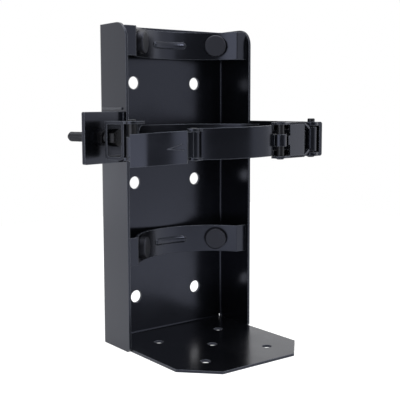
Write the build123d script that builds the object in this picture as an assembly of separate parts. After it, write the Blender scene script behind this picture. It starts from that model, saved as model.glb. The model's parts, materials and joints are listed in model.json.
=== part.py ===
from build123d import *
from math import asin, atan2, cos, degrees, hypot, radians, sin
import os

os.makedirs("parts", exist_ok=True)

# Overall sizes in millimetres, with the cylinder's axis on X = 0 and Y = 0
overall_height = 432.0
overall_width = 210.0
side_room = 16.0
rear_room = 22.2

# Folded back, flanges and base
sheet = 3.4
bend_outer = 6.0
flange_depth = 67.0
flange_corner = 22.0
flange_toe_cut = 4.0
base_reach = 7.3
base_corner = 41.0
base_side_gap = 1.0
relief_dia = 6.0
relief_rise = 7.3

# Mounting holes
back_hole_dia = 17.5
back_hole_spacing = 104.2
back_hole_low = 56.1
back_hole_mid = 218.1
back_hole_top = 75.6
base_hole_dia = 13.0
base_hole_spacing = 104.0

# Saddles and their rubber buttons
saddle_strap = 3.2
saddle_height = 38.1
saddle_low_z = 132.5
saddle_top = 23.4
saddle_half_angle = 58.8
saddle_rib_length = 54.0
saddle_rib_height = 9.0
saddle_rib_depth = 1.2
button_dia = 30.0
button_thick = 9.5
button_angle = 41.2
button_edge = 2.0
button_stem_dia = 8.0
button_lip_dia = 12.0
button_lip_thick = 2.4
stem_clearance = 0.1

# Clamp height, and how far its pieces lie above or below it
clamp_z = 279.5
hinge_rise = 1.5
strap_rise = 0.2
strap_drop = 2.9
bolt_rise = 6.0
lug_rise = 5.5
box_rise = 3.1

# Clamp straps
strap_height = 38.1
strap_thick = 3.2
strap_gap = 3.0
pin_dia = 9.5
running_clearance = 0.05
side_gap = 0.5
ear_margin = 3.4
ear_root = 2.0
roll_gap = 0.4
press_gap = 0.01

# Rear band
band_thick = 3.2
band_left_angle = 34.5
band_left_corner = 14.0
band_end_gap = 0.02

# Right arm with its yoke
arm_thick = 4.8
arm_height = 44.2
arm_overlap = 50.0
arm_reach = 3.2
arm_fold = 3.0
arm_rear_corner = 6.0
yoke_inset = 8.0
yoke_setback = 4.2
yoke_pin_rise = 4.4
tab_margin = 4.3
pin_tail = 1.5
pin_chamfer = 0.8

# Link
link_thick = 2.7
link_shoulder = 10.6
link_yoke_gap = 1.6
link_eye_gap = 1.8
link_lip = 7.0
link_pin_rise = 1.6

# Front strap
strap_right_angle = 20.0
strap_left_angle = 51.0
strap_eye_height = 15.0
strap_tongue = 6.4
lever_pin_tail = 0.8

# Lever and its hook
lever_thick = 3.0
lever_near_height = 39.2
lever_far_height = 40.0
lever_near_drop = 3.4
lever_far_drop = 8.7
lever_flare = 3.4
lever_flare_run = 21.0
lever_end_past_pin = 1.3
lever_shoulder = 9.6
hook_radius = 8.0
hook_gap = 0.4
hook_reach = 14.0
hook_short = 1.0
hook_down = 16.5
hook_up = 8.0

# Adjuster lug on the left flange
lug_height = 65.0
lug_length = 70.0
lug_thick = 5.0
lug_angle = 15.0
lug_setback = 10.0
lug_hole_from_flange = 39.0
lug_corner = 2.0

# Adjusting bolt, nuts and washer
bolt_dia = 12.7
bolt_clearance = 0.6
bolt_tip = 57.0
bolt_tip_chamfer = 1.5
head_flats = 19.05
head_thick = 8.0
nut_flats = 19.05
nut_thick = 11.0
jam_thick = 7.0
washer_dia = 27.0
washer_thick = 2.4
nut_chamfer = 0.6

# Latch box with ears and pin
box_start = 18.7
box_length = 31.8
box_width = 25.4
box_height = 47.6
box_wall = 4.0
box_bend = 6.5
ear_thick = 3.5
ear_radius = 7.6
ear_front = 8.0
ear_cut = 5.0
ear_nose = 0.5
latch_pin_along = 58.2
latch_pin_out = 6.1
latch_pin_rise = 2.1

# Places that follow from these
half_width = overall_width / 2
cylinder_radius = half_width - side_room
axis_to_wall = cylinder_radius + rear_room
base_front = cylinder_radius + base_reach
saddle_high_z = overall_height - saddle_top
back_hole_high = overall_height - back_hole_top
hinge_z = clamp_z + hinge_rise
strap_z = clamp_z + strap_rise
bolt_z = clamp_z + bolt_rise
lug_z = clamp_z + lug_rise
box_z = clamp_z + box_rise
yoke_pin_x = half_width - yoke_inset
yoke_pin_y = yoke_setback - cylinder_radius
arm_front = cylinder_radius + arm_reach
plate_front = axis_to_wall - sheet
flange_front = axis_to_wall - flange_depth
pin_radius = pin_dia / 2
bore_radius = pin_radius + running_clearance
press_radius = pin_radius + press_gap


def polar(radius, angle):
    """Plan point at an angle in degrees from the wall side, positive to the right."""
    return (radius * sin(radians(angle)), radius * cos(radians(angle)))


def prism(face, low, high):
    """Upright solid between two heights from a plan face."""
    return extrude(Pos(0, 0, low) * face, high - low)


def sector(inner, outer, start, end):
    """Plan ring sector between two angles from the wall side, positive to the right."""
    ring = Circle(outer) - Circle(inner)
    far = 4 * outer
    count = max(2, int((end - start) / 30) + 1)
    step = (end - start) / count
    fan = [(0, 0)] + [polar(far, start + step * i) for i in range(count + 1)]
    return ring & make_face(Polyline(*fan, close=True))


def bar(start, end, offset_low, offset_high):
    """Plan bar along a line, between two offsets to the left of its direction."""
    length = hypot(end[0] - start[0], end[1] - start[1])
    ux, uy = (end[0] - start[0]) / length, (end[1] - start[1]) / length
    nx, ny = -uy, ux
    corners = [
        (start[0] + nx * offset_low, start[1] + ny * offset_low),
        (end[0] + nx * offset_low, end[1] + ny * offset_low),
        (end[0] + nx * offset_high, end[1] + ny * offset_high),
        (start[0] + nx * offset_high, start[1] + ny * offset_high),
    ]
    return make_face(Polyline(*corners, close=True))


def pin(x, y, low, high, radius=pin_radius):
    """Plain upright pin with chamfered ends."""
    body = Pos(x, y, low) * Cylinder(radius, high - low, align=(Align.CENTER, Align.CENTER, Align.MIN))
    return chamfer(body.edges().filter_by(GeomType.CIRCLE), pin_chamfer)


def save(name, solid):
    export_step(solid, f"parts/{name}.step")


# Back plate and flanges, folded from one sheet
rear_centre = axis_to_wall - sheet / 2
side_centre = half_width - sheet / 2
channel_path = FilletPolyline(
    (-side_centre, flange_front),
    (-side_centre, rear_centre),
    (side_centre, rear_centre),
    (side_centre, flange_front),
    radius=bend_outer - sheet / 2,
)
back_frame = prism(trace(channel_path, sheet), 0, overall_height)
for side in (-1, 1):
    top_corner = Pos(side * half_width, flange_front, overall_height)
    corner = top_corner * Box(4 * sheet, 2 * flange_corner, 2 * flange_corner)
    round_off = top_corner * Pos(0, flange_corner, -flange_corner) * Rot(0, 90, 0)
    back_frame -= corner - round_off * Cylinder(flange_corner, 8 * sheet)
    toe_side = flange_toe_cut * 2 ** 0.5
    back_frame -= Pos(side * half_width, flange_front, 0) * Rot(45, 0, 0) * Box(4 * sheet, toe_side, toe_side)

# Base, bent forward from the foot of the back plate
base_half = half_width - sheet - base_side_gap
base_path = FilletPolyline(
    (-base_front, sheet / 2),
    (rear_centre, sheet / 2),
    (rear_centre, 2 * bend_outer),
    radius=bend_outer - sheet / 2,
)
base = Pos(-base_half, 0, 0) * extrude(Plane.YZ * trace(base_path, sheet), 2 * base_half)
for side in (-1, 1):
    cut = Pos(side * base_half, -base_front, 0) * Rot(0, 0, 45)
    base -= cut * Box(base_corner * 2 ** 0.5, base_corner * 2 ** 0.5, 4 * sheet)
back_frame -= Pos(0, axis_to_wall, 0) * Box(2 * base_half, 4 * sheet, 2 * bend_outer)
back_frame += base
for side in (-1, 1):
    notch = Pos(side * (half_width - sheet - base_side_gap / 2), axis_to_wall - sheet, 0)
    back_frame -= notch * Cylinder(relief_dia / 2, 2 * relief_rise)

# Mounting holes through the back and the base
back_rows = (back_hole_low, back_hole_mid, back_hole_high)
for side in (-1, 1):
    for row in back_rows:
        hole = Pos(side * back_hole_spacing / 2, axis_to_wall, row) * Rot(90, 0, 0)
        back_frame -= hole * Cylinder(back_hole_dia / 2, 4 * sheet)
base_holes = [(0, 0)] + [(sx * base_hole_spacing / 2, sy * base_hole_spacing / 2) for sx in (-1, 1) for sy in (-1, 1)]
for x, y in base_holes:
    back_frame -= Pos(x, y, 0) * Cylinder(base_hole_dia / 2, 4 * sheet)
save("back_frame", back_frame)

# Curved saddles, turned out at both ends to the flanges and pierced for the buttons
saddle_inner = cylinder_radius + button_thick
saddle_mid = saddle_inner + saddle_strap / 2
end_x, end_y = polar(saddle_mid, saddle_half_angle)
flange_inner = half_width - sheet
button_height = {"upper": saddle_high_z, "lower": saddle_low_z}
button_spots = {"left": -button_angle, "right": button_angle}
for level, z in button_height.items():
    low = z - saddle_height / 2
    high = z + saddle_height / 2
    plan = sector(saddle_inner, saddle_inner + saddle_strap, -saddle_half_angle, saddle_half_angle)
    for side in (-1, 1):
        plan += Pos(side * (end_x + flange_inner) / 2, end_y) * Rectangle(flange_inner - end_x, saddle_strap)
        plan += Pos(side * end_x, end_y) * Circle(saddle_strap / 2)
    saddle = prism(plan, low, high)
    rib = extrude(SlotOverall(saddle_rib_length, saddle_rib_height), 3 * sheet, both=True)
    rib_half_angle = saddle_half_angle / 2
    skin = prism(sector(saddle_inner - saddle_rib_depth, saddle_inner, -rib_half_angle, rib_half_angle), low, high)
    saddle += skin & (Pos(0, saddle_inner, z) * Rot(90, 0, 0) * rib)
    for angle in button_spots.values():
        x, y = polar(saddle_inner, angle)
        stem = Pos(x, y, z) * Rot(0, 0, -angle) * Rot(90, 0, 0)
        saddle -= stem * Cylinder(button_stem_dia / 2 + stem_clearance, 6 * saddle_strap)
    save(f"{level}_saddle", saddle)

# Round rubber buttons, each with a stem and a lip behind the strap
for level, z in button_height.items():
    for side, angle in button_spots.items():
        x, y = polar(cylinder_radius, angle)
        place = Pos(x, y, z) * Rot(0, 0, -angle) * Rot(-90, 0, 0)
        seat = saddle_inner - cylinder_radius
        behind = seat + saddle_strap + 2 * stem_clearance
        start = (Align.CENTER, Align.CENTER, Align.MIN)
        pad = Cylinder(button_dia / 2, seat + saddle_strap, align=start)
        pad = fillet(pad.edges().sort_by(Axis.Z)[0], button_edge)
        pad = place * pad
        pad &= prism(Circle(saddle_inner), z - button_dia, z + button_dia)
        stem_length = behind + button_lip_thick - seat / 2
        stem = place * Pos(0, 0, seat / 2) * Cylinder(button_stem_dia / 2, stem_length, align=start)
        lip = place * Pos(0, 0, behind) * Cylinder(button_lip_dia / 2, button_lip_thick, align=start)
        save(f"button_{level}_{side}", pad + stem + lip)

# Rear band behind the cylinder, tangent to the back plate
band_outer = plate_front
band_right_angle = degrees(asin((half_width - band_end_gap) / band_outer))
rear_band_z = clamp_z
band = prism(
    sector(band_outer - band_thick, band_outer, -band_left_angle, band_right_angle),
    rear_band_z - strap_height / 2,
    rear_band_z + strap_height / 2,
)
band_end_edges = band.edges().filter_by(lambda e: e.length < 1.5 * band_thick and e.center().X < 0)
band_end_edges = band_end_edges.filter_by(lambda e: abs(e.tangent_at(0).Z) < 0.1)
band = fillet(band_end_edges, band_left_corner)
save("rear_band", band)

# Right arm on the outside of the right flange, with a yoke folded in at its front
arm_low = hinge_z - arm_height / 2
arm_high = hinge_z + arm_height / 2
arm_rear = flange_front + arm_overlap
tab_radius = pin_radius + tab_margin
tab_back = yoke_pin_y + tab_radius
tab_front = max(-arm_front, yoke_pin_y - tab_radius)
arm_mid_x = half_width + arm_thick / 2
strip = Pos(arm_mid_x, (arm_rear + tab_back) / 2) * Rectangle(arm_thick, arm_rear - tab_back)
arm = prism(strip, arm_low, arm_high)
rear_edges = arm.edges().filter_by(Axis.X).sort_by(Axis.Y)[-2:]
arm = fillet(rear_edges, arm_rear_corner)
fold = Pos(arm_mid_x, (tab_back - arm_front) / 2) * Rectangle(arm_thick, tab_back + arm_front)
fold = prism(fold, arm_low, arm_high)
fold_edges = fold.edges().filter_by(Axis.Y).sort_by(Axis.X)[-2:]
arm += fillet(fold_edges, arm_fold)
tab_plan = Pos(yoke_pin_x, yoke_pin_y) * Circle(tab_radius)
tab_box = Pos((yoke_pin_x + half_width) / 2, (tab_back + tab_front) / 2)
tab_plan += tab_box * Rectangle(half_width - yoke_pin_x, tab_back - tab_front)
arm += prism(tab_plan, arm_high - arm_thick, arm_high)
arm += prism(tab_plan, arm_low, arm_low + arm_thick)
arm -= Pos(yoke_pin_x, yoke_pin_y, hinge_z) * Cylinder(press_radius, 2 * arm_height)
save("right_arm", arm)
yoke_pin = pin(yoke_pin_x, yoke_pin_y, arm_low - pin_tail, arm_high + yoke_pin_rise)
save("yoke_pin", yoke_pin)

# Front strap, an arc between the two hinge pins
strap_inner = cylinder_radius + strap_gap
strap_outer = strap_inner + strap_thick
strap_eye = bore_radius + strap_thick
hinge_radius = strap_inner + strap_eye
right_pin = polar(hinge_radius, 180 - strap_right_angle)
left_pin = polar(hinge_radius, 180 + strap_left_angle)
shoulder_angle = degrees(link_shoulder / hinge_radius)
strap_low = strap_z - strap_height / 2
strap_high = strap_z + strap_height / 2
left_top = strap_high - strap_drop / 2
left_bottom = strap_low - strap_drop / 2
strap_span = 180 + strap_left_angle
body_plan = sector(strap_inner, strap_outer, 180 - strap_right_angle + shoulder_angle, strap_span)
tall = prism(body_plan, strap_low - strap_drop, strap_high + strap_drop)
middle = ((right_pin[0] + left_pin[0]) / 2, (right_pin[1] + left_pin[1]) / 2)
run = hypot(right_pin[0] - left_pin[0], right_pin[1] - left_pin[1])
chord_turn = degrees(atan2(right_pin[1] - left_pin[1], right_pin[0] - left_pin[0]))
slope = degrees(atan2(strap_drop, run))
slab_place = Pos(middle[0], middle[1], strap_z) * Rot(0, 0, chord_turn) * Rot(0, -slope, 0)
front_strap = tall & (slab_place * Box(4 * run, 4 * run, strap_height))
eye_mid = strap_z + strap_drop / 2
tongue_low = eye_mid - strap_eye_height / 2
tongue_high = eye_mid + strap_eye_height / 2
tongue_angle = degrees((link_shoulder + strap_tongue) / hinge_radius)
tongue = sector(strap_inner, strap_outer, 180 - strap_right_angle, 180 - strap_right_angle + tongue_angle)
tongue += Pos(*right_pin) * Circle(strap_eye)
front_strap += prism(tongue, tongue_low, tongue_high)
front_strap -= Pos(*right_pin, hinge_z) * Cylinder(bore_radius, 2 * strap_height)

# Ears turned out at the strap's left end
ear_plan = Pos(*left_pin) * Circle(pin_radius + ear_margin)
ear_start = 180 + strap_left_angle - degrees((pin_radius + ear_margin + ear_root) / hinge_radius)
ear_plan += sector(strap_inner, hinge_radius, ear_start, strap_span)
front_strap += prism(ear_plan, left_top - strap_thick, left_top)
front_strap += prism(ear_plan, left_bottom, left_bottom + strap_thick)
lever_eye_room = Pos(*left_pin) * Circle(bore_radius + lever_thick + roll_gap)
front_strap -= prism(lever_eye_room, left_bottom + strap_thick, left_top - strap_thick)
front_strap -= Pos(*left_pin, hinge_z) * Cylinder(press_radius, 2 * strap_height)
save("front_strap", front_strap)
lever_pin = pin(left_pin[0], left_pin[1], left_bottom - lever_pin_tail, left_top + lever_pin_tail)
save("lever_pin", lever_pin)

# Link between the yoke pin and the strap's right pin
link_inner_low = min(eye_mid - strap_height / 2, hinge_z - strap_height / 2) - side_gap
link_inner_high = max(eye_mid + strap_height / 2, hinge_z + strap_height / 2) + side_gap
link_low = link_inner_low - link_thick
link_high = link_inner_high + link_thick
link_eye = bore_radius + link_thick
yoke_point = (yoke_pin_x, yoke_pin_y)
link_run = hypot(yoke_point[0] - right_pin[0], yoke_point[1] - right_pin[1])
link_dir = ((right_pin[0] - yoke_point[0]) / link_run, (right_pin[1] - yoke_point[1]) / link_run)


def along_link(distance):
    """Plan point on the line from the yoke pin towards the strap's right pin."""
    return (yoke_point[0] + link_dir[0] * distance, yoke_point[1] + link_dir[1] * distance)


yoke_shoulder = tab_radius + link_yoke_gap
strap_side = link_run - link_shoulder
web = bar(along_link(yoke_shoulder), along_link(strap_side), bore_radius, link_eye)
link = prism(web, link_low, link_high)
ear_half = link_eye
flange_plan = bar(along_link(yoke_shoulder), along_link(link_run), -ear_half, ear_half)
flange_plan += Pos(*right_pin) * Circle(ear_half)
link += prism(flange_plan, link_inner_high, link_high)
link += prism(flange_plan, link_low, link_inner_low)
lip_plan = bar(along_link(yoke_shoulder), along_link(link_run), -ear_half, -bore_radius)
link += prism(lip_plan, link_inner_high - link_lip, link_inner_high)
link += prism(lip_plan, link_inner_low, link_inner_low + link_lip)
eye_half_height = arm_height / 2 - arm_thick - link_eye_gap
eye_plan = bar(along_link(0), along_link(yoke_shoulder + link_thick), -link_thick / 2, link_thick / 2)
eye_plan += bar(along_link(yoke_shoulder), along_link(yoke_shoulder + link_thick), -link_thick / 2, link_eye)
eye_plan += Pos(*yoke_point) * Circle(link_eye)
link += prism(eye_plan, hinge_z - eye_half_height, hinge_z + eye_half_height)
link -= Pos(*yoke_point, hinge_z) * Cylinder(bore_radius, arm_height)
link -= Pos(*right_pin, hinge_z) * Cylinder(press_radius, 2 * arm_height)
save("link", link)
strap_pin = pin(right_pin[0], right_pin[1], link_low - pin_tail, link_high + link_pin_rise)
save("strap_pin", strap_pin)

# Adjuster lug on the outside of the left flange
lug_turn = radians(lug_angle)
lug_out = (-cos(lug_turn), -sin(lug_turn))
lug_fwd = (sin(lug_turn), -cos(lug_turn))
lug_root = (-half_width, flange_front + lug_setback)
bolt_point = (lug_root[0] + lug_out[0] * lug_hole_from_flange, lug_root[1] + lug_out[1] * lug_hole_from_flange)


def along_bolt(forward, outward=0.0):
    """Plan point forward of the lug's middle along the bolt, and outward from its axis."""
    x = bolt_point[0] + lug_fwd[0] * forward + lug_out[0] * outward
    y = bolt_point[1] + lug_fwd[1] * forward + lug_out[1] * outward
    return (x, y)


def on_bolt(forward):
    """Frame whose Z runs forward along the bolt."""
    x, y = along_bolt(forward)
    return Pos(x, y, bolt_z) * Rot(0, 0, lug_angle) * Rot(90, 0, 0)


outer_end = (lug_root[0] + lug_out[0] * lug_length, lug_root[1] + lug_out[1] * lug_length)
inner_start = (lug_root[0] - lug_out[0] * lug_thick, lug_root[1] - lug_out[1] * lug_thick)
lug_plan = bar(inner_start, outer_end, -lug_thick / 2, lug_thick / 2)
lug = prism(lug_plan, lug_z - lug_height / 2, lug_z + lug_height / 2)
lug -= Pos(-half_width + lug_length, lug_root[1], lug_z) * Box(2 * lug_length, 2 * lug_length, 2 * lug_height)
flat_edges = lug.edges().filter_by(lambda e: abs(e.tangent_at(0).Z) < 0.1)
outer_corners = flat_edges.filter_by(lambda e: e.length < 2 * lug_thick and e.center().X < -half_width - lug_length / 2)
lug = fillet(outer_corners, lug_corner)
start = (Align.CENTER, Align.CENTER, Align.MIN)
lug -= on_bolt(-lug_thick) * Cylinder(bolt_dia / 2 + bolt_clearance, 2 * lug_thick, align=start)
save("adjuster_lug", lug)

# Bolt, with its head inside the latch box, and what holds it to the lug
bolt_end = box_start + box_wall
bolt = on_bolt(-bolt_tip) * Cylinder(bolt_dia / 2, bolt_tip + bolt_end, align=start)
bolt = chamfer(bolt.edges().filter_by(GeomType.CIRCLE).sort_by(Axis.Y)[-1], bolt_tip_chamfer)
head_radius = head_flats / 3 ** 0.5
head = on_bolt(bolt_end) * extrude(RegularPolygon(head_radius, 6, rotation=30), head_thick)
save("adjusting_bolt", bolt + head)
nut_radius = nut_flats / 3 ** 0.5


def nut(forward, thick):
    """Hexagon nut on the bolt."""
    body = extrude(RegularPolygon(nut_radius, 6, rotation=30), thick)
    body &= Cylinder(nut_radius - nut_chamfer, thick, align=start)
    return on_bolt(forward) * (body - Cylinder(bolt_dia / 2 + press_gap, 4 * thick))


lug_rear = -lug_thick / 2
washer_bore = bolt_dia / 2 + bolt_clearance / 2
washer = Cylinder(washer_dia / 2, washer_thick, align=start) - Cylinder(washer_bore, 4 * washer_thick)
save("rear_washer", on_bolt(lug_rear - washer_thick) * washer)
save("rear_nut", nut(lug_rear - washer_thick - nut_thick, nut_thick))
save("front_jam_nut", nut(lug_thick / 2, jam_thick))

# Latch box, a strap folded into a loop round the bolt's head
box_end = box_start + box_length


def loop_block(length_low, length_high, height_low, height_high, width):
    """Block in the latch box's frame: forward, upward and across the bolt."""
    x, y = along_bolt((length_low + length_high) / 2)
    block = Box(width, length_high - length_low, height_high - height_low)
    return Pos(x, y, (height_low + height_high) / 2) * Rot(0, 0, lug_angle) * block


box_low = box_z - box_height / 2
box_high = box_z + box_height / 2
latch_box = loop_block(box_start, box_end, box_low, box_high, box_width)
across = Vector(lug_out[0], lug_out[1], 0)


def is_across(edge):
    """True for an edge that runs across the bolt."""
    return abs(abs(edge.tangent_at(0).dot(across)) - 1) < 1e-6


bottom_edges = latch_box.edges().filter_by(is_across).filter_by(lambda e: e.center().Z < box_z)
latch_box = fillet(bottom_edges, box_bend)
window = loop_block(box_start + box_wall, box_end - box_wall, box_low + box_wall, box_high - box_wall, 2 * box_width)
window_edges = window.edges().filter_by(is_across).filter_by(lambda e: e.center().Z < box_z)
window = fillet(window_edges, box_bend - box_wall)
latch_box -= window
latch_box -= on_bolt(0) * Cylinder(bolt_dia / 2 + bolt_clearance, box_start + 2 * box_wall, align=start)
save("latch_box", latch_box)

# Ears that carry the latch pin ahead of the box
latch_point = along_bolt(latch_pin_along, latch_pin_out)
ear_shape = [
    along_bolt(box_end, box_width / 2),
    along_bolt(box_end, -box_width / 2),
    along_bolt(latch_pin_along + ear_front - ear_cut, -box_width / 2),
    along_bolt(latch_pin_along + ear_front, -box_width / 2 + ear_cut),
    along_bolt(latch_pin_along + ear_front - ear_nose, latch_pin_out),
]
ear_face = make_face(Polyline(*ear_shape, close=True)) + Pos(*latch_point) * Circle(ear_radius)
ear_hole = Pos(*latch_point, box_z) * Cylinder(press_radius, 2 * box_height)
save("latch_ear_upper", prism(ear_face, box_high - ear_thick, box_high) - ear_hole)
save("latch_ear_lower", prism(ear_face, box_low, box_low + ear_thick) - ear_hole)
latch_pin = pin(latch_point[0], latch_point[1], box_low - pin_tail, box_high + latch_pin_rise)
save("latch_pin", latch_pin)

# Lever, a plate rolled round its pin at one end
pin_run = hypot(latch_point[0] - left_pin[0], latch_point[1] - left_pin[1])
lever_dir = ((latch_point[0] - left_pin[0]) / pin_run, (latch_point[1] - left_pin[1]) / pin_run)
lever_out = (-lever_dir[1], lever_dir[0])


def on_lever(along, outward):
    """Plan point along the lever from its pin, and outward from the pins' line."""
    x = left_pin[0] + lever_dir[0] * along + lever_out[0] * outward
    y = left_pin[1] + lever_dir[1] * along + lever_out[1] * outward
    return (x, y)


lever_end = pin_run + lever_end_past_pin
lever_inner_end = bore_radius + lever_flare
plate_points = [
    on_lever(0, bore_radius),
    on_lever(pin_run - lever_flare_run, lever_inner_end),
    on_lever(lever_end, lever_inner_end),
    on_lever(lever_end, lever_inner_end + lever_thick),
    on_lever(pin_run - lever_flare_run, lever_inner_end + lever_thick),
    on_lever(0, bore_radius + lever_thick),
]
plate = make_face(Polyline(*plate_points, close=True))
roll = Pos(*left_pin) * Circle(bore_radius + lever_thick)
lever = prism(plate, clamp_z - arm_height, clamp_z + arm_height)
near_z = -lever_near_drop
far_z = -lever_far_drop
side_shape = make_face(Polyline(
    (0, near_z - lever_near_height / 2),
    (pin_run, far_z - lever_far_height / 2),
    (2 * pin_run, 2 * far_z - near_z - (2 * lever_far_height - lever_near_height) / 2),
    (2 * pin_run, 2 * far_z - near_z + (2 * lever_far_height - lever_near_height) / 2),
    (pin_run, far_z + lever_far_height / 2),
    (0, near_z + lever_near_height / 2),
    close=True,
))
lever_turn = degrees(atan2(lever_dir[1], lever_dir[0]))
lever_view = Pos(*left_pin, clamp_z) * Rot(0, 0, lever_turn) * Rot(90, 0, 0)
lever &= lever_view * extrude(side_shape, pin_run, both=True)
neck = Pos(*left_pin) * Circle(lever_shoulder)
neck_low = left_bottom + strap_thick + side_gap
neck_high = left_top - strap_thick - side_gap
lever += prism(roll, neck_low, neck_high)
lever -= prism(neck, neck_high, neck_high + lever_near_height)
lever -= prism(neck, neck_low - lever_near_height, neck_low)
lever -= Pos(*left_pin, clamp_z) * Cylinder(bore_radius, 2 * lever_near_height)
save("lever", lever)

# Hook on the lever's inner face, round the far side of the latch pin
hook_room = pin_radius + hook_gap
hook = Pos(*latch_point) * Circle(hook_radius)
hook_keep = make_face(Polyline(
    on_lever(pin_run, hook_short),
    on_lever(pin_run + 2 * hook_radius, hook_short),
    on_lever(pin_run + 2 * hook_radius, lever_inner_end),
    on_lever(pin_run, lever_inner_end),
    close=True,
))
hook &= hook_keep
hook += make_face(Polyline(
    on_lever(pin_run - hook_reach, hook_room),
    on_lever(pin_run, hook_room),
    on_lever(pin_run, lever_inner_end),
    on_lever(pin_run - hook_reach, lever_inner_end),
    close=True,
))
hook -= Pos(*latch_point) * Circle(hook_room)
save("lever_hook", prism(hook, clamp_z - hook_down, clamp_z + hook_up))
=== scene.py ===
import bmesh
import bpy
import json
from math import cos, pi, radians, sin
from mathutils import Matrix, Vector


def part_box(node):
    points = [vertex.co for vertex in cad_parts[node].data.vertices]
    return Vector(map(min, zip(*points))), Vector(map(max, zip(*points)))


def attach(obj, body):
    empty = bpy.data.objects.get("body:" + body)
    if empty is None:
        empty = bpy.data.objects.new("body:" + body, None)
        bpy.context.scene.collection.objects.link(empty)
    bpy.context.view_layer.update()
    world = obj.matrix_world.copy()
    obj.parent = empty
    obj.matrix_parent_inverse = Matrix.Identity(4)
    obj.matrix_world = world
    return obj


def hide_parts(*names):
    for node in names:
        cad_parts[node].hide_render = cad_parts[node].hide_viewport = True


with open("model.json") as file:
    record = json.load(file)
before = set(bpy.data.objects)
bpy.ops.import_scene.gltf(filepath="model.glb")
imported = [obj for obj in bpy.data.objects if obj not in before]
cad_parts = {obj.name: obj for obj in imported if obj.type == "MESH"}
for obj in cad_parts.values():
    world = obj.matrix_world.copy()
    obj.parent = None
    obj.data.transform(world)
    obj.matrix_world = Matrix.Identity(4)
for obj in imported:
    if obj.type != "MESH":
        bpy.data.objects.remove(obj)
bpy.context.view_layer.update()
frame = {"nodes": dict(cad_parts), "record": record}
nodes = frame["nodes"]
MM = 0.001

# Camera at the photograph's viewpoint
CAMERA_AT = Vector((-647.917, -818.955, 323.126)) * MM
CAMERA_YAW = radians(36.302)
CAMERA_PITCH = radians(6.093)
CAMERA_ROLL = radians(-0.261)
FRAME_PIXELS = 400
FOCAL_PIXELS = 790.686
CENTRE_PIXEL = (184.086, 191.263)
SENSOR = 36.0


def make_camera():
    """Camera whose picture lines up with the photograph."""
    ahead = Vector((sin(CAMERA_YAW), cos(CAMERA_YAW), 0))
    forward = ahead * cos(CAMERA_PITCH) - Vector((0, 0, sin(CAMERA_PITCH)))
    level = Vector((cos(CAMERA_YAW), -sin(CAMERA_YAW), 0))
    upright = level.cross(forward)
    right = level * cos(CAMERA_ROLL) + upright * sin(CAMERA_ROLL)
    up = upright * cos(CAMERA_ROLL) - level * sin(CAMERA_ROLL)
    data = bpy.data.cameras.new("photo_camera")
    data.sensor_fit = "HORIZONTAL"
    data.sensor_width = SENSOR
    data.lens = SENSOR * FOCAL_PIXELS / FRAME_PIXELS
    data.shift_x = 0.5 - CENTRE_PIXEL[0] / FRAME_PIXELS
    data.shift_y = CENTRE_PIXEL[1] / FRAME_PIXELS - 0.5
    data.clip_start = 0.05
    data.clip_end = 30
    camera = bpy.data.objects.new("photo_camera", data)
    turn = Matrix((right, up, -forward)).transposed()
    camera.matrix_world = Matrix.Translation(CAMERA_AT) @ turn.to_4x4()
    bpy.context.scene.collection.objects.link(camera)
    bpy.context.scene.camera = camera


make_camera()


# Materials: where the painted edge highlight starts and ends, how strong it is, and the size of the gloss
# clouds in mm
EDGE_FULL = 0.82
EDGE_NONE = 0.985
EDGE_HIGHLIGHT = 0.8
CLOUD = 45.0
COAT_IOR = 1.5


def linear(code):
    """Linear colour with alpha from an sRGB hex value."""
    channels = [int(code[i:i + 2], 16) / 255 for i in (0, 2, 4)]
    return tuple(c / 12.92 if c <= 0.04045 else ((c + 0.055) / 1.055) ** 2.4 for c in channels) + (1.0,)


def add(tree, kind, settings=None, links=None):
    """Node of that kind with its settings and its linked or fixed inputs."""
    node = tree.nodes.new(kind)
    for key, value in (settings or {}).items():
        setattr(node, key, value)
    for key, value in (links or {}).items():
        if isinstance(value, bpy.types.NodeSocket):
            tree.links.new(value, node.inputs[key])
        else:
            node.inputs[key].default_value = value
    return node


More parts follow.
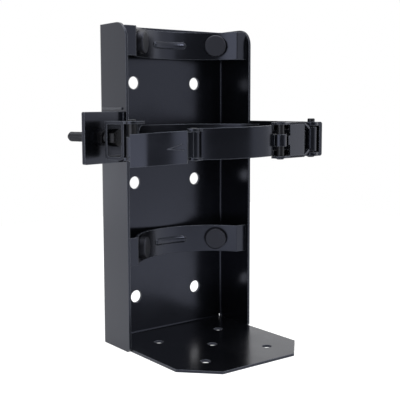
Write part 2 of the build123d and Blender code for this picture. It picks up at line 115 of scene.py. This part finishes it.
def finish(name, colour, tint, roughness, spread, grains, edge, edge_highlight_colour, sheen_tint):
    """Material with soft edges lightened by a painted highlight, a fine relief and broken-up gloss. Lengths
    are in mm.
    """
    material = bpy.data.materials.new(name)
    material.use_nodes = True
    tree = material.node_tree
    shader = tree.nodes["Principled BSDF"]
    place = add(tree, "ShaderNodeTexCoord").outputs["Object"]
    rounded = add(tree, "ShaderNodeBevel", {"samples": 4}, {"Radius": edge * MM}).outputs["Normal"]
    flat = add(tree, "ShaderNodeNewGeometry").outputs["Normal"]
    turned = add(tree, "ShaderNodeVectorMath", {"operation": "DOT_PRODUCT"}, {0: rounded, 1: flat})
    # Painted highlight: the closer a point is to a rounded edge, the more its colour is lightened towards the
    # edge colour. This stands in for the light lines that reflections draw along edges.
    edge_highlight_mask = add(tree, "ShaderNodeMapRange", {},
                 {"Value": turned.outputs["Value"], "From Min": EDGE_FULL, "From Max": EDGE_NONE,
                  "To Min": EDGE_HIGHLIGHT, "To Max": 0.0})
    normal = rounded
    for size, height in grains:
        noise = add(tree, "ShaderNodeTexNoise", {},
                    {"Vector": place, "Scale": 1 / (size * MM), "Detail": 2.0})
        normal = add(tree, "ShaderNodeBump", {}, {"Height": noise.outputs["Fac"], "Distance": height * MM,
                                                  "Strength": 1.0, "Normal": normal}).outputs["Normal"]
    tree.links.new(normal, shader.inputs["Normal"])
    cloud = add(tree, "ShaderNodeTexNoise", {}, {"Vector": place, "Scale": 1 / (CLOUD * MM), "Detail": 4.0})
    ranged = add(tree, "ShaderNodeMapRange", {},
                 {"Value": cloud.outputs["Fac"], "From Min": 0.3, "From Max": 0.7,
                  "To Min": roughness - spread, "To Max": roughness + spread})
    tree.links.new(ranged.outputs["Result"], shader.inputs["Roughness"])
    mix = add(tree, "ShaderNodeMix", {"data_type": "RGBA"}, {"Factor": cloud.outputs["Fac"]})
    mix.inputs["A"].default_value = linear(colour)
    mix.inputs["B"].default_value = linear(tint)
    # Mix the painted edge highlight into the base colour
    edge_highlight_mix = add(tree, "ShaderNodeMix", {"data_type": "RGBA"}, {"Factor": edge_highlight_mask.outputs["Result"],
                                                              "A": mix.outputs["Result"]})
    edge_highlight_mix.inputs["B"].default_value = linear(edge_highlight_colour)
    tree.links.new(edge_highlight_mix.outputs["Result"], shader.inputs["Base Color"])
    shader.inputs["IOR"].default_value = COAT_IOR
    shader.inputs["Specular Tint"].default_value = linear(sheen_tint)
    return material


# In each finish below, the grey given after the edge radius is the painted edge highlight
# Polyester powder coat on pressed steel: deep blue-black with a semi-gloss skin and a slight orange peel
powder_coat = finish("black_powder_coat", "060709", "0A0B0E", 0.22, 0.04, [(3.0, 0.012), (0.9, 0.004)],
                     1.3, "747880", "D8E0FF")
# Black oxide and oil on turned pins, bolt and nuts: a little browner and duller than the coat
black_oxide = finish("black_oxide_steel", "0E0E10", "151517", 0.30, 0.04, [(1.2, 0.010)],
                     0.6, "4A4B50", "C8CCD8")
# Moulded nitrile rubber: matt, with a faint grey bloom
nitrile_rubber = finish("nitrile_rubber", "0E0E0F", "171718", 0.50, 0.08, [(1.6, 0.03)],
                        1.2, "1B1B1D", "DDE3FF")

finishes = {"powder_coat": powder_coat, "hardware": black_oxide, "rubber": nitrile_rubber}
slots = {entry["node"]: entry["material_slot"] for entry in frame["record"]["subparts"]}
for name, node in nodes.items():
    node.data.materials.clear()
    node.data.materials.append(finishes[slots[name]])


# Places of the clamp's pieces, in mm, read from the frame
def extent(node, axis):
    """Lowest and highest point of a node along an axis, in mm."""
    low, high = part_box(node)
    return low[axis] / MM, high[axis] / MM


def middle_of(node):
    """Middle of a node's box, in mm."""
    return Vector([sum(extent(node, axis)) / 2 for axis in range(3)])


def plan_frame(start, end):
    """Frame at a pin whose X runs towards another pin and whose Y points outwards from the cylinder."""
    along = Vector((end.x - start.x, end.y - start.y)).normalized()
    outward = Vector((-along.y, along.x))
    if outward.dot(start.xy) < 0:
        outward = -outward
    turn = Matrix((along.to_3d(), outward.to_3d(), (0, 0, 1))).transposed()
    return Matrix.Translation((start.x, start.y, 0)) @ turn.to_4x4()


# Plain forms: sides of a round one, a sharp edge's angle, and in mm the room in bores and for matching points
ROUND_SIDES = 40
SHARP_EDGE = radians(35)
BORE_ROOM = 0.05
JOIN_WITHIN = 0.01
CORNER_ROOM = 1.0


def block(form, axes, low, high):
    """Plain block between two corners of a frame, and its corners."""
    low, high = Vector(low), Vector(high)
    size = Matrix.Diagonal((*(high - low), 1))
    made = bmesh.ops.create_cube(form, size=1.0, matrix=axes @ Matrix.Translation((low + high) / 2) @ size)
    return made["verts"]


def barrel(form, axes, radius, bottom, top, shift=0.0):
    """Upright cylinder on a frame's origin or further along its X."""
    place = axes @ Matrix.Translation((shift, 0, (bottom + top) / 2))
    bmesh.ops.create_cone(form, cap_ends=True, segments=ROUND_SIDES, radius1=radius, radius2=radius,
                          depth=top - bottom, matrix=place)


def ring(form, axes, inner, outer, bottom, top):
    """Upright tube on a frame's origin, with its bore left open for the pin."""
    section = ((inner, bottom), (outer, bottom), (outer, top), (inner, top))
    corners = [form.verts.new(axes @ Vector((radius, 0, height))) for radius, height in section]
    sides = [form.edges.new((corners[i], corners[i - 1])) for i in range(len(corners))]
    bmesh.ops.spin(form, geom=corners + sides, cent=axes.translation, axis=(0, 0, 1), angle=2 * pi,
                   steps=ROUND_SIDES, use_merge=True)


def place_piece(name, form, slot, body, replaced=()):
    """Object from a form in mm, with its finish, riding a body."""
    bmesh.ops.scale(form, verts=form.verts, vec=(MM, MM, MM))
    bmesh.ops.recalc_face_normals(form, faces=form.faces)
    mesh = bpy.data.meshes.new(name)
    form.to_mesh(mesh)
    form.free()
    mesh.materials.append(finishes[slot])
    mesh.shade_smooth()
    mesh.set_sharp_from_angle(angle=SHARP_EDGE)
    piece = bpy.data.objects.new(name, mesh)
    bpy.context.scene.collection.objects.link(piece)
    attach(piece, body)
    if replaced:
        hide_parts(*replaced)


PIN_RADIUS = (extent("yoke_pin", 0)[1] - extent("yoke_pin", 0)[0]) / 2
BORE_RADIUS = PIN_RADIUS + BORE_ROOM
yoke_at = middle_of("yoke_pin")
strap_at = middle_of("strap_pin")
lever_at = middle_of("lever_pin")
latch_at = middle_of("latch_pin")
CLAMP_HEIGHT = 279.5

# Link: a pressed web with flanges, necked down to an eye that turns inside the arm's yoke
LINK_THICK = 2.7
LINK_LIP = 7.0
LINK_NECK_START = 13.0
LINK_WEB_START = 24.0
LINK_WEB_END = 10.6
LINK_TONGUE_END = 7.2
LINK_TONGUE_HALF = 5.4
LINK_PAST_PIN = 12.0
LINK_LIP_PAST_PIN = 8.0
LINK_LEDGE_TAPER = 0.6
YOKE_PLATE = 4.8
YOKE_GAP = 1.8


def make_link():
    """Web, flanges with turned lips, tapered neck and eye."""
    form = bmesh.new()
    axes = plan_frame(yoke_at, strap_at)
    run = (strap_at - yoke_at).xy.length
    low, high = extent("link", 2)
    arm_low, arm_high = extent("right_arm", 2)
    eye_low, eye_high = arm_low + YOKE_PLATE + YOKE_GAP, arm_high - YOKE_PLATE - YOKE_GAP
    face = BORE_RADIUS + LINK_THICK
    middle = (low + high) / 2
    block(form, axes, (LINK_WEB_START, BORE_RADIUS, low), (run - LINK_WEB_END, face, high))
    block(form, axes, (run - LINK_WEB_END, BORE_RADIUS, middle - LINK_TONGUE_HALF),
          (run - LINK_TONGUE_END, face, middle + LINK_TONGUE_HALF))
    block(form, axes, (LINK_NECK_START, -face, eye_low), (LINK_WEB_START, -BORE_RADIUS, eye_high))
    block(form, axes, (0, -face, eye_low), (LINK_NECK_START, -BORE_RADIUS, eye_high))
    ring(form, axes, BORE_RADIUS, face, eye_low, eye_high)
    for sign, edge, eye_edge in ((-1, low, eye_low), (1, high, eye_high)):
        inner = edge - sign * LINK_THICK
        lip_end = inner - sign * LINK_LIP
        under, over = min(edge, inner), max(edge, inner)
        lip_under, lip_over = min(inner, lip_end), max(inner, lip_end)
        block(form, axes, (LINK_WEB_START, -face, under), (run, face, over))
        barrel(form, axes, face, under, over, run)
        ledge = block(form, axes, (run, -face, under), (run + LINK_PAST_PIN, face, over))
        far = [vert for vert in ledge if (axes.inverted() @ vert.co).x > run + CORNER_ROOM]
        bmesh.ops.scale(form, verts=far, vec=(1, LINK_LEDGE_TAPER, 1), space=axes.inverted())
        block(form, axes, (LINK_WEB_START, -face, lip_under),
              (run + LINK_LIP_PAST_PIN, -BORE_RADIUS, lip_over))
        neck = block(form, axes, (LINK_NECK_START, -face, under), (LINK_WEB_START, face, over))
        near = [vert for vert in neck if (axes.inverted() @ vert.co).x < LINK_NECK_START + CORNER_ROOM]
        bmesh.ops.translate(form, verts=near, vec=(0, 0, eye_edge - edge))
    return form


place_piece("link_pressing", make_link(), "powder_coat", "link", ["link"])

# Lever: one plate that dips between its pin and its bend, rolled round its pin between the strap's ears
LEVER_THICK = 3.0
LEVER_START = 6.3
LEVER_PAST_LATCH = 1.3
LEVER_NECK_INSET = 4.5
LEVER_NECK = 12.0
LEVER_NECK_RISE = 2.0
LEVER_START_OFFSET = 3.9
LEVER_SLOPES = (-0.12, 0.18, -0.16)
LEVER_DIP, LEVER_DIP_SOFT = 24.0, 12.0
LEVER_BEND, LEVER_BEND_SOFT = 55.2, 2.0
LEVER_BOTTOM, LEVER_BOTTOM_FALL = -23.0, 5.7
LEVER_TOP, LEVER_TOP_FALL = 16.2, 4.9
LEVER_COLUMNS = 64
lever_frame = plan_frame(lever_at, latch_at)
lever_run = (latch_at - lever_at).xy.length


def past(along, place, softness):
    """Distance gone past a place, with a soft start."""
    return (along - place + ((along - place) ** 2 + softness ** 2) ** 0.5) / 2


def lever_offset(along):
    """Distance of the plate's inner face from the line between the pins."""
    dip = past(along, LEVER_DIP, LEVER_DIP_SOFT)
    tip = past(along, LEVER_BEND, LEVER_BEND_SOFT)
    runs = (along - LEVER_START, dip, tip)
    return BORE_RADIUS + LEVER_START_OFFSET + sum(slope * run for slope, run in zip(LEVER_SLOPES, runs))


def lever_edges(along):
    """Lower and upper edge of the plate at a distance from its pin."""
    share = along / lever_run
    low = CLAMP_HEIGHT + LEVER_BOTTOM - LEVER_BOTTOM_FALL * share
    return low, CLAMP_HEIGHT + LEVER_TOP - LEVER_TOP_FALL * share


def make_lever():
    """Plate, neck and rolled eye."""
    form = bmesh.new()
    bmesh.ops.create_grid(form, x_segments=LEVER_COLUMNS, y_segments=1, size=0.5)
    start, end = LEVER_START, lever_run + LEVER_PAST_LATCH
    for vert in form.verts:
        along = start + (end - start) * (vert.co.x + 0.5)
        low, high = lever_edges(along)
        vert.co = lever_frame @ Vector((along, lever_offset(along), low + (high - low) * (vert.co.y + 0.5)))
    bmesh.ops.recalc_face_normals(form, faces=form.faces)
    outward = lever_frame.col[1].to_3d()
    if sum(face.normal.dot(outward) for face in form.faces) > 0:
        bmesh.ops.reverse_faces(form, faces=form.faces)
    bmesh.ops.solidify(form, geom=form.faces[:], thickness=LEVER_THICK)
    neck_low, neck_high = extent("lever_pin", 2)
    neck_low, neck_high = neck_low + LEVER_NECK_INSET, neck_high - LEVER_NECK_INSET
    ring(form, lever_frame, BORE_RADIUS, BORE_RADIUS + LEVER_THICK, neck_low, neck_high)
    neck = block(form, lever_frame, (0, BORE_RADIUS, neck_low),
                 (LEVER_NECK, BORE_RADIUS + LEVER_THICK, neck_high))
    far = [vert for vert in neck if (lever_frame.inverted() @ vert.co).x > LEVER_NECK - CORNER_ROOM]
    bmesh.ops.translate(form, verts=far, vec=outward * LEVER_NECK_RISE)
    return form


place_piece("lever_plate", make_lever(), "powder_coat", "lever", ["lever"])

# Raised arrowhead on the lever, made of rounded strokes
ARROW_TIP = (30.5, -6.6)
ARROW_TAILS = ((13.5, -0.6), (11.0, -7.6))
STROKE = 0.9
ARROW_LIFT = 0.4


def make_arrow():
    """Arrowhead that points along the lever towards its free end."""
    form = bmesh.new()

    def spot(along, height):
        """Point on the lever's outer face."""
        outward = lever_offset(along) + LEVER_THICK + ARROW_LIFT
        return lever_frame @ Vector((along, outward, CLAMP_HEIGHT + height))

    for end in ARROW_TAILS:
        start, stop = spot(*ARROW_TIP), spot(*end)
        turn = (stop - start).to_track_quat("Z", "Y").to_matrix().to_4x4()
        place = Matrix.Translation((start + stop) / 2) @ turn
        bmesh.ops.create_cone(form, cap_ends=True, segments=10, radius1=STROKE, radius2=STROKE,
                              depth=(stop - start).length, matrix=place)
        for point in (start, stop):
            bmesh.ops.create_icosphere(form, subdivisions=2, radius=STROKE, matrix=Matrix.Translation(point))
    return form


place_piece("lever_arrow", make_arrow(), "powder_coat", "lever")

# Stiffening ribs of the saddles, rounded over the flat pressings
RIB_HALF_LENGTH = 27.5
RIB_HALF_HEIGHT = 5.0
RIB_DEPTH = 2.4
RIB_BANDS = 16
RIB_CUTS = 12
SADDLE_STRAP = 3.2


def make_rib(saddle):
    """Long rounded rib bent to the saddle's inner face."""
    form = bmesh.new()
    inner = extent(saddle, 1)[1] - SADDLE_STRAP
    height = sum(extent(saddle, 2)) / 2
    stretch = Matrix.Diagonal((RIB_HALF_HEIGHT, RIB_DEPTH, RIB_HALF_HEIGHT, 1))
    bmesh.ops.create_uvsphere(form, u_segments=ROUND_SIDES, v_segments=RIB_BANDS, radius=1.0, matrix=stretch)
    bmesh.ops.bisect_plane(form, geom=form.verts[:] + form.edges[:] + form.faces[:], plane_co=(0, 0, 0),
                           plane_no=(1, 0, 0), clear_outer=True)
    bmesh.ops.translate(form, verts=[vert for vert in form.verts if vert.co.x < -JOIN_WITHIN],
                        vec=(RIB_HALF_HEIGHT - RIB_HALF_LENGTH, 0, 0))
    longest = [edge for edge in form.edges if edge.calc_length() > RIB_HALF_LENGTH / 2]
    bmesh.ops.subdivide_edges(form, edges=longest, cuts=RIB_CUTS)
    bmesh.ops.mirror(form, geom=form.verts[:] + form.edges[:] + form.faces[:], axis="X",
                     merge_dist=JOIN_WITHIN)
    for vert in form.verts:
        angle = vert.co.x / inner
        reach = inner + vert.co.y
        vert.co = Vector((reach * sin(angle), reach * cos(angle), height + vert.co.z))
    return form


for saddle in ("upper_saddle", "lower_saddle"):
    place_piece(saddle + "_rib", make_rib(saddle), "powder_coat", "bracket")

# Adjusting bolt with a rolled thread and a hexagon head, measured from the jam nut's middle
THREAD_STEPS = 20
THREAD_PITCH = 1.95
THREAD_DEPTH = 0.75
THREAD_RADIUS = 6.35
TIP_CHAMFER = 1.5
JAM_FORWARD = 6.0
BOLT_BACK = 57.0
HEAD_START = 22.7
HEAD_THICK = 8.0
HEAD_FLATS = 19.05


def make_bolt():
    """Threaded shank and head along the line through both nuts."""
    form = bmesh.new()
    rear, front = middle_of("rear_nut"), middle_of("front_jam_nut")
    way = (front - rear).normalized()
    axes = Matrix.Translation(front - way * JAM_FORWARD) @ way.to_track_quat("Z", "Y").to_matrix().to_4x4()
    turns = int((BOLT_BACK - TIP_CHAMFER + HEAD_START) / THREAD_PITCH)
    root = THREAD_RADIUS - THREAD_DEPTH
    start = -BOLT_BACK + TIP_CHAMFER
    profile = ((root, start), (THREAD_RADIUS, start + THREAD_PITCH / 2), (root, start + THREAD_PITCH))
    points = [form.verts.new(axes @ Vector((radius, 0, height))) for radius, height in profile]
    sides = [form.edges.new(points[i:i + 2]) for i in range(2)]
    bmesh.ops.spin(form, geom=points + sides, cent=axes.translation, axis=way, angle=2 * pi * (turns - 1),
                   dvec=way * THREAD_PITCH / THREAD_STEPS, steps=THREAD_STEPS * (turns - 1))
    bmesh.ops.remove_doubles(form, verts=form.verts, dist=JOIN_WITHIN)
    for low, high, radius1, radius2 in ((-BOLT_BACK, start + THREAD_PITCH, root - TIP_CHAMFER, root),
                                        (start + THREAD_PITCH, HEAD_START, root, root)):
        place = axes @ Matrix.Translation((0, 0, (low + high) / 2))
        bmesh.ops.create_cone(form, cap_ends=True, segments=THREAD_STEPS, radius1=radius1, radius2=radius2,
                              depth=high - low, matrix=place)
    place = axes @ Matrix.Translation((0, 0, HEAD_START + HEAD_THICK / 2))
    corner = HEAD_FLATS / 3 ** 0.5
    bmesh.ops.create_cone(form, cap_ends=True, segments=6, radius1=corner, radius2=corner, depth=HEAD_THICK,
                          matrix=place)
    return form


place_piece("threaded_bolt", make_bolt(), "hardware", "bracket", ["adjusting_bolt"])

# Weld beads, each a row of overlapping drops along a seam
BEAD_RADIUS = 1.9
BEAD_STEP = 1.7
SHEET = 3.4
FLANGE_DEPTH = 67.0
LUG_SETBACK = 10.0
LUG_HALF = 2.9
FOOT_RISE = 4.0
FOOT_LENGTH = 56.0
RELIEF_BEAD = 4.0


def add_bead(form, start, end):
    """Row of drops between two points."""
    run = Vector(end) - Vector(start)
    count = int(run.length / BEAD_STEP)
    for place in range(count + 1):
        drop = Matrix.Translation(Vector(start) + run * place / count)
        bmesh.ops.create_icosphere(form, subdivisions=2, radius=BEAD_RADIUS, matrix=drop)


def make_welds():
    """Beads of the lug and its foot, the base's rear corner, the arm and the saddles."""
    form = bmesh.new()
    side = extent("back_frame", 0)[1]
    front_edge = extent("back_frame", 1)[1] - FLANGE_DEPTH
    inside = side - SHEET
    lug_low, lug_high = extent("adjuster_lug", 2)
    for offset in (-LUG_HALF, LUG_HALF):
        root = front_edge + LUG_SETBACK + offset
        add_bead(form, (-side, root, lug_low + BEAD_RADIUS), (-side, root, lug_high - BEAD_RADIUS))
    add_bead(form, (-side, front_edge + LUG_SETBACK, lug_high + FOOT_RISE),
             (-side, front_edge + FOOT_LENGTH, lug_high + FOOT_RISE))
    corner = (inside, extent("back_frame", 1)[1] - SHEET)
    add_bead(form, (*corner, BEAD_RADIUS), (*corner, BEAD_RADIUS + RELIEF_BEAD))
    arm_low, arm_high = extent("right_arm", 2)
    arm_rear = extent("right_arm", 1)[1]
    for height in (arm_low, arm_high):
        add_bead(form, (side, front_edge + 2 * BEAD_RADIUS, height),
                 (side, arm_rear - 4 * BEAD_RADIUS, height))
    for saddle in ("upper_saddle", "lower_saddle"):
        low, high = extent(saddle, 2)
        rear = extent(saddle, 1)[0] + SADDLE_STRAP
        for sign in (-1, 1):
            add_bead(form, (sign * inside, rear, low + BEAD_RADIUS),
                     (sign * inside, rear, high - BEAD_RADIUS))
    return form


place_piece("weld_beads", make_welds(), "powder_coat", "bracket")

# Studio: a white tent that is dark where the camera looks in, so that dark gloss has something to show
TENT_OPENING = Vector((-0.292, -0.956, 0.0)).normalized()
OPENING_INNER = cos(radians(36.5))
OPENING_OUTER = cos(radians(44.5))
OPENING_LEVEL = 0.16
AMBIENT = 0.7
FLOOR_HALF = 1.2
FLOOR_GLOW = 0.85


def seen_rays(tree):
    """Socket that is one for rays that show the backdrop, and the camera's own socket."""
    rays = add(tree, "ShaderNodeLightPath")
    both = add(tree, "ShaderNodeMath", {"operation": "MAXIMUM"}, {0: rays.outputs["Is Camera Ray"],
                                                                 1: rays.outputs["Is Glossy Ray"]})
    every = add(tree, "ShaderNodeMath", {"operation": "MAXIMUM"}, {0: both.outputs[0],
                                                                  1: rays.outputs["Is Transmission Ray"]})
    return every.outputs[0], rays.outputs["Is Camera Ray"]


def make_floor():
    """Pale floor that shows as white and keeps the object's shadow."""
    sheet = bmesh.new()
    bmesh.ops.create_grid(sheet, x_segments=1, y_segments=1, size=FLOOR_HALF)
    mesh = bpy.data.meshes.new("studio_floor")
    sheet.to_mesh(mesh)
    sheet.free()
    floor = bpy.data.objects.new("studio_floor", mesh)
    bpy.context.scene.collection.objects.link(floor)
    paint = bpy.data.materials.new("studio_floor_paint")
    paint.use_nodes = True
    tree = paint.node_tree
    shader = tree.nodes["Principled BSDF"]
    shader.inputs["Base Color"].default_value = linear("A8A8A8")
    shader.inputs["Roughness"].default_value = 0.9
    shader.inputs["Specular IOR Level"].default_value = 0.0
    seen = seen_rays(tree)[0]
    glow = add(tree, "ShaderNodeMath", {"operation": "MULTIPLY"}, {0: seen, 1: FLOOR_GLOW})
    shader.inputs["Emission Color"].default_value = (1, 1, 1, 1)
    tree.links.new(glow.outputs[0], shader.inputs["Emission Strength"])
    mesh.materials.append(paint)


def make_tent():
    """World that is white to the camera, a tent to gloss and plain soft light to all else."""
    world = bpy.data.worlds.new("studio_tent")
    bpy.context.scene.world = world
    world.use_nodes = True
    tree = world.node_tree
    way = add(tree, "ShaderNodeTexCoord").outputs["Generated"]
    facing = add(tree, "ShaderNodeVectorMath", {"operation": "DOT_PRODUCT"}, {0: way, 1: TENT_OPENING})
    tent = add(tree, "ShaderNodeMapRange", {"interpolation_type": "SMOOTHSTEP"},
               {"Value": facing.outputs["Value"], "From Min": OPENING_OUTER, "From Max": OPENING_INNER,
                "To Min": 1.0, "To Max": OPENING_LEVEL})
    seen, camera_ray = seen_rays(tree)
    shown = add(tree, "ShaderNodeMath", {"operation": "MAXIMUM"}, {0: tent.outputs["Result"], 1: camera_ray})
    level = add(tree, "ShaderNodeMix", {"data_type": "FLOAT"},
                {"Factor": seen, "A": AMBIENT, "B": shown.outputs[0]})
    background = tree.nodes["Background"]
    background.inputs["Color"].default_value = (1, 1, 1, 1)
    tree.links.new(level.outputs["Result"], background.inputs["Strength"])


def make_lamp(name, place, aim, width, height, energy):
    """Rectangular softbox."""
    lamp = bpy.data.lights.new(name, "AREA")
    lamp.shape = "RECTANGLE"
    lamp.size = width
    lamp.size_y = height
    lamp.energy = energy
    softbox = bpy.data.objects.new(name, lamp)
    softbox.location = place
    softbox.rotation_euler = (Vector(aim) - Vector(place)).to_track_quat("-Z", "Y").to_euler()
    softbox.visible_camera = False
    bpy.context.scene.collection.objects.link(softbox)


make_floor()
make_tent()
make_lamp("left_panel", (-1.7, -0.3, 0.35), (0, 0, 0.25), 1.9, 1.2, 9.5)
make_lamp("back_glow", (-0.85, 1.45, 0.02), (-0.1, 0.1, 0.2), 1.0, 0.4, 0.7)
make_lamp("right_panel", (1.66, -0.54, 0.35), (0, 0, 0.25), 0.9, 1.1, 1.8)
make_lamp("glint_box", (0.55, -1.93, 1.2), (0, 0, 0.3), 0.25, 0.25, 8)
make_lamp("overhead_box", (0, -0.1, 1.7), (0, 0, 0.3), 1.6, 1.6, 15)
bpy.context.scene.view_settings.view_transform = "Standard"
